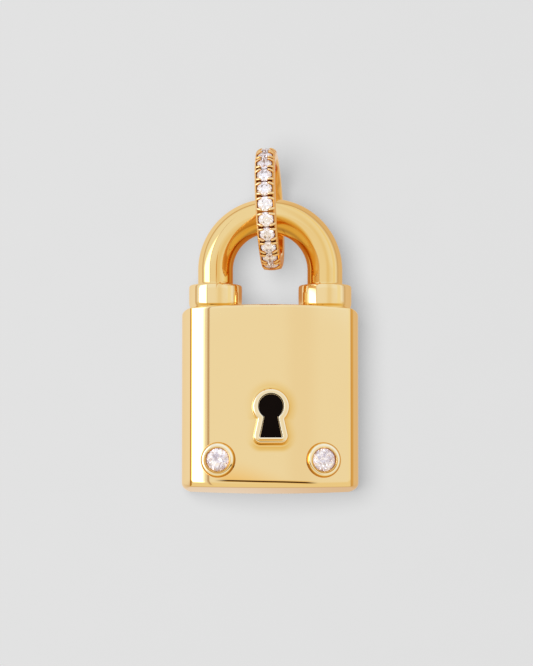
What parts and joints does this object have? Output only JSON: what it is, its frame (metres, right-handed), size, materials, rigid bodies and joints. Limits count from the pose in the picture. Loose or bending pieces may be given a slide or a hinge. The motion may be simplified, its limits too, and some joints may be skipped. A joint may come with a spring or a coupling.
{
  "type": "padlock pendant",
  "caption": "Gold padlock pendant with a crowned front, black keyhole, bezel-set stones and a pave ring bail round its shackle.",
  "frame": {"origin": "centre of the footprint of the pendant lying on its back, on the surface that it lies on", "axes": "+Z out of the lock's front face, +Y from the lock's foot to the ring, +X to the viewer's right"},
  "size_m": [0.017, 0.0326, 0.0118],
  "materials": {
    "gold": "polished",
    "diamond": "polished facets",
    "black_enamel": "smooth"
  },
  "bodies": {
    "lock": {"case": "gold", "shackle": "gold", "keyhole_inlay": "black_enamel", "bezel_stone_left": "diamond", "bezel_stone_right": "diamond"},
    "bail": {"bail_ring": "gold", "pave_stone_01": "diamond", "pave_stone_02": "diamond", "pave_stone_03": "diamond", "pave_stone_04": "diamond", "pave_stone_05": "diamond", "pave_stone_06": "diamond", "pave_stone_07": "diamond", "pave_stone_08": "diamond", "pave_stone_09": "diamond", "pave_stone_10": "diamond", "pave_stone_11": "diamond", "pave_stone_12": "diamond"}
  },
  "joints": [
    {"name": "bail_swing", "type": "hinge", "parent": "lock", "child": "bail", "pos_m": [0, 0.01016, 0.0033], "axis": [1, 0, 0], "continuous": true}
  ]
}
